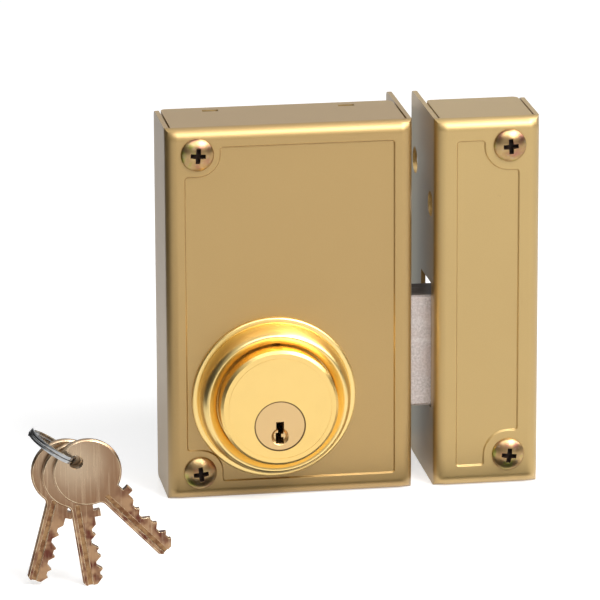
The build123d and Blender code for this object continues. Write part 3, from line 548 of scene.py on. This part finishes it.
def thread_rows():
    """The shank, thread and point: rows of y, core radius and height of the thread."""
    start = SCREW_LENGTH - TIP_LENGTH - THREAD_LENGTH
    tip = SCREW_LENGTH - TIP_LENGTH
    step = THREAD_PITCH / ROWS_PER_TURN
    rows = [(start - 2 * step, SHANK_RADIUS, 0.0)]
    for index in range(int((SCREW_LENGTH - start) / step)):
        y = start + index * step
        run_in = min(1.0, (y - start) / THREAD_PITCH)
        taper = min(1.0, (SCREW_LENGTH - y) / TIP_LENGTH)
        core = ROOT_RADIUS * taper if y > tip else ROOT_RADIUS
        rows.append((y, core, (SHANK_RADIUS - ROOT_RADIUS) * taper * run_in))
    return rows


def thread_height(y, angle):
    """How far the ridge of the thread stands out here, from 0 to 1."""
    phase = (y / THREAD_PITCH - angle / (2 * pi)) % 1.0
    return max(0.0, 1 - abs(2 * phase - 1) * RIDGE_SLOPE)


def screw_mesh(name):
    shape = bmesh.new()
    rings = [[shape.verts.new((0, -HEAD_HEIGHT, 0))]]
    angles = [2 * pi * side / SCREW_SIDES for side in range(SCREW_SIDES)]
    for y, radius in head_rows():
        rings.append([shape.verts.new((radius * cos(a), y, radius * sin(a))) for a in angles])
    for y, core, ridge in thread_rows():
        ring = []
        for angle in angles:
            radius = core + ridge * thread_height(y, angle)
            ring.append(shape.verts.new((radius * cos(angle), y, radius * sin(angle))))
        rings.append(ring)
    rings.append([shape.verts.new((0, SCREW_LENGTH, 0))])
    skin(shape, rings)
    bmesh.ops.recalc_face_normals(shape, faces=shape.faces)
    return mesh_of(shape, name)


def recess_cutter():
    """A cross that narrows with its depth, a little taller than the head."""
    shape = bmesh.new()
    levels = []
    for depth, rise in ((0, CUTTER_RISE), (0, 0), (RECESS_DEPTH, 0)):
        shrink = depth * tan(radians(RECESS_TAPER))
        long, short = RECESS_SPAN / 2 - shrink, RECESS_SLOT / 2 - shrink
        quarter = [(long, -short), (long, short), (short, short)]
        outline = []
        for c, s in ((1, 0), (0, 1), (-1, 0), (0, -1)):
            outline += [(x * c - z * s, x * s + z * c) for x, z in quarter]
        y = depth - HEAD_HEIGHT - rise
        levels.append([shape.verts.new((x, y, z)) for x, z in outline])
    skin(shape, levels)
    shape.faces.new(levels[0])
    shape.faces.new(levels[-1])
    bmesh.ops.recalc_face_normals(shape, faces=shape.faces)
    return show("recess", mesh_of(shape, "recess"))


def cut(mesh, cutter):
    """The mesh with the cutter's shape taken out of it, and its walls in a second finish."""
    blank = show("blank", mesh)
    boolean = blank.modifiers.new("recess", "BOOLEAN")
    boolean.operation = "DIFFERENCE"
    boolean.solver = "EXACT"
    boolean.object = cutter
    bpy.context.view_layer.update()
    graph = bpy.context.evaluated_depsgraph_get()
    shaped = bpy.data.meshes.new_from_object(blank.evaluated_get(graph))
    bpy.data.objects.remove(blank)
    for face in shaped.polygons:
        x, y, z = face.center
        out = Vector((x, y - HEAD_BALL + HEAD_HEIGHT, z)).length
        under_skin = out < HEAD_BALL - SKIN_DEPTH and y < 0
        in_recess = max(abs(x), abs(z)) < RECESS_SPAN / 2 and under_skin
        face.material_index = 1 if in_recess else 0
    return shaped


def place_screws(node, mesh, turns):
    """Two screws of one case, in the places of its node."""
    low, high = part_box(node)
    x, y = (low[0] + high[0]) / 2, low[1] + HEAD_HEIGHT * MM
    zs = (high[2] - HEAD_RADIUS * MM, low[2] + HEAD_RADIUS * MM)
    shape = bmesh.new()
    for z, turn in zip(zs, turns):
        part = mesh.copy()
        spin = Matrix.Rotation(radians(turn), 4, "Y")
        part.transform(Matrix.Translation((x, y, z)) @ Matrix.Scale(MM, 4) @ spin)
        shape.from_mesh(part)
    piece = show(f"{node}_threaded", mesh_of(shape, node))
    finish_edges(piece, 0.12 * MM, sharp_angle=40)
    stand_in(piece, node)
    print(f"{piece.name}: {len(piece.data.vertices)} corners")
    return piece


cutter = recess_cutter()
screw = cut(screw_mesh("screw"), cutter)
bpy.data.objects.remove(cutter)
screws = [
    place_screws("case_screws", screw, turns=(4, -6)),
    place_screws("strike_screws", screw, turns=(-3, 7)),
]

# %% [markdown]
# The cases are pressed from sheet steel and sprayed with a gold lacquer: fine
# metal flakes in a warm tan, under a clear coat with a faint orange peel. The
# coat is what turns the side flanges grey, because at a low angle it mirrors the
# white room. One Principled shader holds both layers, so no shaders are mixed. The
# strike gets a copy of the lacquer a shade paler: painted light, which stands for
# the stronger light that falls on the right.

# %% Gold lacquer
def gold_paint(name, dark, light):
    paint = Finish(name, coat_weight=1.0, coat_roughness=0.38, metallic=0.85)
    flakes = paint.noise(3200, detail=1.0)
    cloud = paint.noise(22, detail=2.0)
    peel = paint.noise(700, detail=2.0)
    shade = paint.mix(flakes * 0.55 + cloud * 0.45, dark, light)
    specks = paint.noise(260, detail=4.0, roughness=0.7).between(0.7, 0.76)
    shade = paint.mix(specks * 0.25, shade, (0.4, 0.27, 0.11))
    paint.set(base_color=shade, roughness=0.4 + flakes * 0.14)
    grain = paint.bump(flakes, 0.1, 0.00005)
    paint.set(normal=paint.bump(peel, 0.1, 0.00008, below=grain))
    return paint


case = softened("case_shell", 0.2 * MM, sharp_angle=50)
strike = softened("strike_shell", 0.2 * MM, sharp_angle=50)
gold_paint("gold_paint", (0.42, 0.265, 0.087), (0.53, 0.352, 0.128)).dress(case)
# The strike's paint is a shade paler as painted light, for the stronger light on the right.
gold_paint("gold_paint_strike_painted_light", (0.49, 0.325, 0.114), (0.61, 0.43, 0.168)).dress(strike)
for sheet in (case, strike):
    round_corners(sheet)
    press_lines(sheet)

# %% [markdown]
# The rosette and the cylinder are turned from brass and left in two finishes:
# the rosette is polished until it mirrors the room, the cylinder's face keeps a
# satin cut. Both carry the fine rings of the lathe, so the noise behind their bump
# runs on the distance from the axis alone. Oil darkens the seam round the plug.
#
# The rosette is turned anew from a profile of a few points with a smooth line
# through them, because its crest and its slopes flow into each other. The plugs of
# the pin chambers are brass pins, and the one in the head was turned off together
# with it, so it ends on the head's own round side.

# %% Brass
def middle_of(low, high):
    """The middle of a box."""
    return tuple((a + b) / 2 for a, b in zip(low, high))


AXIS = middle_of(*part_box("rosette_ring"))
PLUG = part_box("plug")
PLUG_AXIS = middle_of(*PLUG)
PLUG_RADIUS = (PLUG[1][0] - PLUG[0][0]) / 2
CYLINDER_RADIUS = (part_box("cylinder_body")[1][0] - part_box("cylinder_body")[0][0]) / 2
SEAM_EDGE = (0.12 * MM, 0.32 * MM)


def turned_brass(name, centre, dark, light, roughness, rings, relief):
    """Brass with the rings of the lathe round its axis and a dark seam round the plug."""
    brass = Finish(name, metallic=1.0)
    lines = brass.rings(centre, rings)
    haze = brass.noise(90, detail=3.0)
    stain = brass.noise(34, detail=4.0, roughness=0.6).between(0.45, 0.75)
    shade = brass.mix(lines * 0.4 + haze * 0.6, dark, light)
    shade = brass.mix(stain * 0.12, shade, (0.62, 0.4, 0.13))
    off = brass.far_from(PLUG_AXIS, (1, 0, 1)) - PLUG_RADIUS
    seam = 1 - off.math("ABSOLUTE", off).between(*SEAM_EDGE)
    shade = brass.mix(seam * 0.92, shade, (0.1, 0.055, 0.025))
    brass.set(base_color=shade, roughness=roughness + lines * 0.06 + haze * 0.06)
    brass.set(normal=brass.bump(lines, relief, 0.00004))
    return brass


# The profile of the rosette: its radius and its height over the panel, in millimetres
RING_LIP = [(25.1, 0.95), (25.35, 1.2), (26.6, 1.2), (27.0, 0.8), (27.0, 0.0), (17.3, 0.0)]
RING_SEAT = [(17.3, 5.0), (19.75, 5.0)]
RING_INSIDE = [(19.75, 6.9), (20.2, 7.45), (20.9, 8.05), (21.7, 8.6), (22.5, 8.88)]
RING_DOME = [(23.15, 8.55), (23.85, 7.6), (24.4, 6.2), (24.8, 4.5), (25.02, 2.7), (25.1, 0.95)]
RING_SIDES = 160
CAP_COUNT = 5
CAP_SIDES = 32
CAP_SINK = 0.02 * MM
# A cap that ends in front of this line lies wholly in the head
HEAD_BACK = AXIS[1] - 1.0 * MM


def drawn_through(points, steps):
    """More points on a smooth line through these."""
    line = []
    for i in range(len(points) - 1):
        before, start = points[max(i - 1, 0)], points[i]
        end, after = points[i + 1], points[min(i + 2, len(points) - 1)]
        for step in range(steps):
            t = step / steps
            weights = (
                (-t + 2 * t**2 - t**3, before),
                (2 - 5 * t**2 + 3 * t**3, start),
                (t + 4 * t**2 - 3 * t**3, end),
                (t**3 - t**2, after),
            )
            line.append(tuple(sum(k * spot[axis] for k, spot in weights) / 2 for axis in (0, 1)))
    return line


def turned_ring():
    """The rosette, turned from its profile."""
    low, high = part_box("rosette_ring")
    profile = drawn_through(RING_INSIDE + RING_DOME, 4) + RING_LIP + RING_SEAT
    shape = bmesh.new()
    angles = [2 * pi * side / RING_SIDES for side in range(RING_SIDES)]
    rows = []
    for radius, rise in profile:
        y = high[1] - rise * MM
        out = radius * MM
        spots = [(AXIS[0] + out * cos(a), y, AXIS[2] + out * sin(a)) for a in angles]
        rows.append([shape.verts.new(spot) for spot in spots])
    skin(shape, rows + rows[:1])
    bmesh.ops.recalc_face_normals(shape, faces=shape.faces)
    piece = show("rosette_ring_turned", mesh_of(shape, "rosette_ring"))
    finish_edges(piece, 0.12 * MM, sharp_angle=30)
    stand_in(piece, "rosette_ring")
    print(f"rosette ring: {len(profile)} points, {(high[1] - low[1]) / MM:.1f} mm high")
    return piece


def flush_caps():
    """The plugs of the pin chambers. The one wholly in the head ends flush with its side."""
    low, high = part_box("chamber_caps")
    x, radius = (low[0] + high[0]) / 2, (high[0] - low[0]) / 2
    pitch = (high[1] - low[1] - 2 * radius) / (CAP_COUNT - 1)
    shape = bmesh.new()
    for i in range(CAP_COUNT):
        y = low[1] + radius + i * pitch
        in_head = y + radius < HEAD_BACK
        rings = []
        for top in (False, True):
            ring = []
            for side in range(CAP_SIDES):
                angle = 2 * pi * side / CAP_SIDES
                out = radius * cos(angle)
                crown = AXIS[2] + (CYLINDER_RADIUS**2 - out**2) ** 0.5 - CAP_SINK
                z = (crown if in_head else high[2]) if top else low[2]
                ring.append(shape.verts.new((x + out, y + radius * sin(angle), z)))
            rings.append(ring)
        skin(shape, rings)
        shape.faces.new(rings[0])
        shape.faces.new(rings[1])
    bmesh.ops.recalc_face_normals(shape, faces=shape.faces)
    piece = show("chamber_caps_flush", mesh_of(shape, "chamber_caps"))
    stand_in(piece, "chamber_caps")
    print(f"{piece.name}: {CAP_COUNT} caps")
    return piece


BRASS = {
    # name: (axis, dark, light, roughness, rings to the metre, relief)
    "polished_brass": (AXIS, (0.92, 0.66, 0.24), (1.0, 0.77, 0.34), 0.24, 5200, 0.12),
    "satin_brass": (AXIS, (0.92, 0.635, 0.22), (0.96, 0.685, 0.253), 0.26, 7000, 0.2),
    "plug_brass": (PLUG_AXIS, (0.74, 0.5, 0.235), (0.79, 0.55, 0.27), 0.27, 6400, 0.2),
}
polished, satin, core = [turned_brass(name, *look) for name, look in BRASS.items()]
polished.dress(turned_ring())
satin.dress(softened("cylinder_body", 0.3 * MM, sharp_angle=30, rounds=3))
turned_plug = softened("plug", 0.2 * MM, sharp_angle=30)
core.dress(turned_plug, nodes["key_pins"], nodes["driver_pins"])
satin.dress(flush_caps())

# %% [markdown]
# The screws are zinc plated and passivated yellow. The passivation is a film as
# thin as the wavelength of light, so its colour drifts between straw, pink and
# green from place to place. A Thin Film socket would do that by angle, but it is
# lost in an export, so a slow noise picks the colour from a ramp instead.

# %% Yellow zinc
def yellow_zinc():
    zinc = Finish("yellow_zinc", metallic=1.0)
    film = zinc.noise(210, detail=2.0)
    pink, straw, amber, green = (
        (0.36, 0.17, 0.11),
        (0.42, 0.27, 0.12),
        (0.5, 0.34, 0.16),
        (0.42, 0.4, 0.1),
    )
    shade = zinc.ramp(film, (0.3, pink), (0.45, straw), (0.56, amber), (0.68, green))
    wear = zinc.noise(900, detail=3.0).between(0.55, 0.75)
    shade = zinc.mix(wear * 0.3, shade, (0.5, 0.46, 0.4))
    zinc.set(base_color=shade, roughness=0.32 + wear * 0.12)
    zinc.set(normal=zinc.bump(zinc.noise(1500, detail=2.0), 0.1, 0.00005))
    return zinc


def recess_painted_shade():
    """Painted shade: the recess is painted nearly black for the shade that fills it."""
    film = Finish("recess_painted_shade", specular_ior_level=0.2)
    depth = film.noise(800, detail=3.0)
    film.set(base_color=film.mix(depth, (0.006, 0.003, 0.002), (0.05, 0.026, 0.016)))
    film.set(roughness=0.5 + depth * 0.2, normal=film.bump(depth, 0.2, 0.00006))
    return film


yellow_zinc().dress(*screws)
# Painted shade: the screw recesses get a nearly black second finish.
recess_painted_shade().dress(*screws, add=True)

# %% [markdown]
# The bolt is steel with a thin zinc coat: grey with a trace of pink, and granular
# like fine sand. Its grain is real relief at this scale, so one noise drives both
# the bump and the shade, and the hollows are darker. Its upper face is painted
# dark as painted shade, for the shade of the gap that it sits in; it is told from
# the others by the direction that it looks in.

# %% Bolt
def bolt_steel():
    steel = Finish("bolt_steel", metallic=0.55)
    grain = steel.noise(1300, detail=3.0, roughness=0.65)
    cloud = steel.noise(160, detail=3.0)
    shade = steel.mix(grain.between(0.3, 0.7), (0.54, 0.49, 0.475), (0.74, 0.69, 0.68))
    shade = steel.mix(cloud.between(0.4, 0.65) * 0.35, shade, (0.66, 0.54, 0.51))
    rub = steel.noise(300, stretch=(0.08, 1, 1)).between(0.55, 0.7)
    shade = steel.mix(rub * 0.25, shade, (0.78, 0.74, 0.7))
    # Painted shade: the upper face is darkened for the shade in the gap.
    normal = steel.node("ShaderNodeTexCoord", {}, {}, "Normal")
    rise = steel.node("ShaderNodeSeparateXYZ", {}, {"Vector": normal}, "Z")
    top_painted_shade = rise.between(0.5, 0.9) * (0.7 + cloud * 0.4).clamped()
    steel.set(base_color=steel.mix(top_painted_shade, shade, (0.07, 0.055, 0.045)))
    steel.set(roughness=0.62 - rub * 0.2, normal=steel.bump(grain, 0.35, 0.00012))
    return steel


bolt_steel().dress(softened("bolt", 0.12 * MM))

# %% [markdown]
# The keys are stamped from brass strip and have been carried for a while: the
# bows are tan and finely scratched, the blades have gone copper pink where they
# were milled. The milled part is told from the bow by its distance from the hole
# that the ring goes through, which is the same on all three keys.
#
# Two more finishes go on faces of their own. The floors of the grooves are painted
# dark as painted shade, for the walls of the groove, and the rims, which the bevel
# makes, rub bright and are lighter still as a painted highlight. Pointiness could
# find the rims too, but it changes with the density of the mesh.

# %% Keys
SPLIT_LOW, SPLIT_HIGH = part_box("split_ring")
HOLE_INSET, HOLE_RISE = 1.2 * MM, 1.5 * MM
HOLE_Y = (SPLIT_LOW[1] + SPLIT_HIGH[1]) / 2
KEY_HOLE = (SPLIT_HIGH[0] - HOLE_INSET, HOLE_Y, SPLIT_LOW[2] + HOLE_RISE)
GROOVE_WALL = 0.3 * MM
GROOVE_FINISH, RIM_FINISH = 1, 2


def mark_grooves(piece):
    """Gives the floors of the milled grooves the piece's second finish."""
    ys = [corner.co.y for corner in piece.data.vertices]
    front, back = min(ys) + GROOVE_WALL, max(ys) - GROOVE_WALL
    found = 0
    for face in piece.data.polygons:
        if front < face.center.y < back and abs(face.normal.y) > 0.9:
            face.material_index = GROOVE_FINISH
            found += 1
    print(f"{piece.name}: {found} groove faces")


def groove_painted_shade():
    """The floors of the grooves, painted dark as painted shade for the groove."""
    brass = Finish("groove_painted_shade", metallic=1.0)
    groove_shade_noise = brass.noise(500, detail=3.0)
    # Painted shade: the groove floors stay dark brown.
    shade = brass.mix(groove_shade_noise.between(0.35, 0.65), (0.2, 0.09, 0.045), (0.42, 0.25, 0.12))
    brass.set(base_color=shade)
    brass.set(roughness=0.3 + groove_shade_noise * 0.2, normal=brass.bump(groove_shade_noise, 0.15, 0.00005))
    return brass


def rim_wear_and_painted_highlight():
    """The rims, rubbed bright by pocket and lock, and lighter still as a painted highlight."""
    brass = Finish("rim_wear_and_painted_highlight", metallic=1.0)
    rub = brass.noise(400, detail=3.0)
    # Painted highlight: the light end is near white gold, for the reflection of the white floor.
    shade = brass.mix(rub.between(0.35, 0.6), (0.5, 0.34, 0.19), (0.95, 0.8, 0.55))
    brass.set(base_color=shade)
    brass.set(roughness=0.2 + rub * 0.12, normal=brass.bump(rub, 0.1, 0.00004))
    return brass


def key_brass():
    brass = Finish("key_brass", metallic=1.0)
    reach = brass.far_from(KEY_HOLE)
    blade = (reach + brass.noise(240) * 0.006).between(0.0185, 0.026)
    cloud = brass.noise(120, detail=4.0, roughness=0.6)
    scratch = brass.noise(1700, detail=3.0, stretch=(1, 1, 0.04), turn=(0, 0.5, 0))
    low = (reach + cloud * 0.004).between(0.004, 0.018)
    bow = brass.mix(low, (0.52, 0.39, 0.265), (0.28, 0.16, 0.09))
    patches = brass.noise(260).between(0.35, 0.65)
    milled = brass.mix(patches, (0.14, 0.045, 0.03), (0.43, 0.26, 0.145))
    shade = brass.mix(blade, bow, milled)
    rub = scratch.between(0.52, 0.72)
    brass.set(base_color=brass.mix(rub * 0.3, shade, (0.62, 0.47, 0.31)))
    brass.set(roughness=0.28 - rub * 0.08 + cloud * 0.08)
    waves = brass.bump(brass.noise(130, detail=1.0), 0.5, 0.0004)
    brass.set(normal=brass.bump(scratch, 0.4, 0.00006, below=waves))
    return brass


KEYS = ("front_key", "middle_key", "left_key")
keys = [softened(name, 0.24 * MM) for name in KEYS]
key_brass().dress(*keys)
groove_painted_shade().dress(*keys, add=True)
rim_wear_and_painted_highlight().dress(*keys, add=True)
for key in keys:
    mark_grooves(key)
    key.modifiers["edges"].material = RIM_FINISH

# %% [markdown]
# The split ring is spring steel wire under bright nickel. Such rings are wound from
# wire that was rolled flatter first, and their ends are ground thinner. A Screw
# modifier could wind the same helix, but its section would stay the same to the
# end, so the section is laid along the helix row by row. The wire is thin, so it
# shows the whole room at once: pale floor, dim wall, pale sky.

# %% Split ring
SPLIT_TILT = 34
SPLIT_TURNS, SPLIT_PITCH, SPLIT_START = 2, 1.22 * MM, -200
WIRE_HIGH, WIRE_WIDE = 0.46 * MM, 0.56 * MM
WIRE_STEPS, WIRE_SIDES = 96, 16
WIRE_MARGIN = 0.01 * MM
WIRE_SHARP = 50
# The ends are ground to this share of the wire, over so many steps
END_SHARE, END_STEPS = 0.55, 6


def squared(angle):
    """A point of a flattened circle: rounder than a square, squarer than a circle."""
    c, s = cos(angle), sin(angle)
    flat = (c**4 + s**4) ** 0.25
    return c / flat, s / flat


def wound_ring():
    """Two turns of flattened wire, side by side, with their ends ground thinner."""
    up = Vector((-cos(radians(SPLIT_TILT)), 0, sin(radians(SPLIT_TILT))))
    across = Vector((0, 1, 0))
    axis = up.cross(across)
    centre = (Vector(SPLIT_LOW) + Vector(SPLIT_HIGH)) / 2
    radius = (SPLIT_HIGH[1] - SPLIT_LOW[1]) / 2 - WIRE_HIGH - WIRE_MARGIN
    shape = bmesh.new()
    rings = []
    steps = SPLIT_TURNS * WIRE_STEPS
    for step in range(steps + 1):
        share = step / steps
        turn = radians(SPLIT_START + 360 * SPLIT_TURNS * share)
        outward = -cos(turn) * up + sin(turn) * across
        spot = centre + outward * radius + axis * SPLIT_PITCH * SPLIT_TURNS * (share - 0.5)
        from_end = min(step, steps - step) / END_STEPS
        thin = min(1.0, END_SHARE + from_end * (1 - END_SHARE))
        ring = []
        for side in range(WIRE_SIDES):
            along, beside = squared(2 * pi * side / WIRE_SIDES)
            out = outward * along * WIRE_HIGH * thin
            aside = axis * beside * WIRE_WIDE * thin
            ring.append(shape.verts.new(spot + out + aside))
        rings.append(ring)
    skin(shape, rings)
    shape.faces.new(rings[0])
    shape.faces.new(rings[-1])
    bmesh.ops.recalc_face_normals(shape, faces=shape.faces)
    mesh = mesh_of(shape, "split_ring")
    piece = show("split_ring_wound", mesh)
    mesh.shade_smooth()
    mesh.set_sharp_from_angle(angle=radians(WIRE_SHARP))
    stand_in(piece, "split_ring")
    print(f"split ring: {radius / MM:.2f} mm radius, {len(mesh.vertices)} corners")
    return piece


def ring_steel():
    nickel = Finish("ring_steel", metallic=1.0)
    rub = nickel.noise(600, detail=3.0).between(0.45, 0.75)
    nickel.set(base_color=nickel.mix(rub, (0.36, 0.37, 0.38), (0.52, 0.53, 0.53)))
    nickel.set(roughness=0.14 + rub * 0.16)
    nickel.set(normal=nickel.bump(nickel.noise(1800), 0.08, 0.00003))
    return nickel


ring_steel().dress(wound_ring())

# %% [markdown]
# Inside the case nothing is meant to be seen: plate, strap, rivets and gear are
# zinc plated steel with its faint spangle, and the spring parts are hardened
# strip, darker and smoother, with the straw tint of tempering here and there.

# %% Steel of the works
def plain_steel():
    steel = Finish("plain_steel", metallic=1.0)
    sockets = {"Vector": steel.place, "Scale": 330.0}
    cells = steel.node("ShaderNodeTexVoronoi", {}, sockets, "Color")
    spangle = steel.node("ShaderNodeSeparateColor", {}, {"Color": cells})
    rub = steel.noise(260, detail=4.0, stretch=(1, 1, 0.12))
    shade = steel.mix(spangle * 0.5 + rub * 0.5, (0.34, 0.35, 0.36), (0.56, 0.57, 0.58))
    steel.set(base_color=shade, roughness=0.3 + spangle * 0.14 + rub * 0.08)
    steel.set(normal=steel.bump(rub, 0.12, 0.00005))
    return steel


def spring_steel():
    steel = Finish("spring_steel", metallic=1.0)
    temper = steel.noise(150, detail=3.0).between(0.45, 0.72)
    grain = steel.noise(900, stretch=(0.1, 1, 1))
    steel.set(base_color=steel.mix(temper * 0.5, (0.25, 0.255, 0.27), (0.4, 0.3, 0.2)))
    steel.set(roughness=0.24 + grain * 0.16, normal=steel.bump(grain, 0.12, 0.00004))
    return steel


PLATED = ["bolt_bridge", "bridge_rivets", "guide_stud", "guide_washer", "brake_rivet"]
PLATED += ["case_spacers", "strike_spacers", "plug_washer", "drive_gear", "gear_screw"]
plate = softened("back_plate", 0.1 * MM)
plain_steel().dress(plate, *[nodes[name] for name in PLATED])
spring_steel().dress(nodes["brake_spring"], nodes["cylinder_clip"], nodes["pin_springs"])
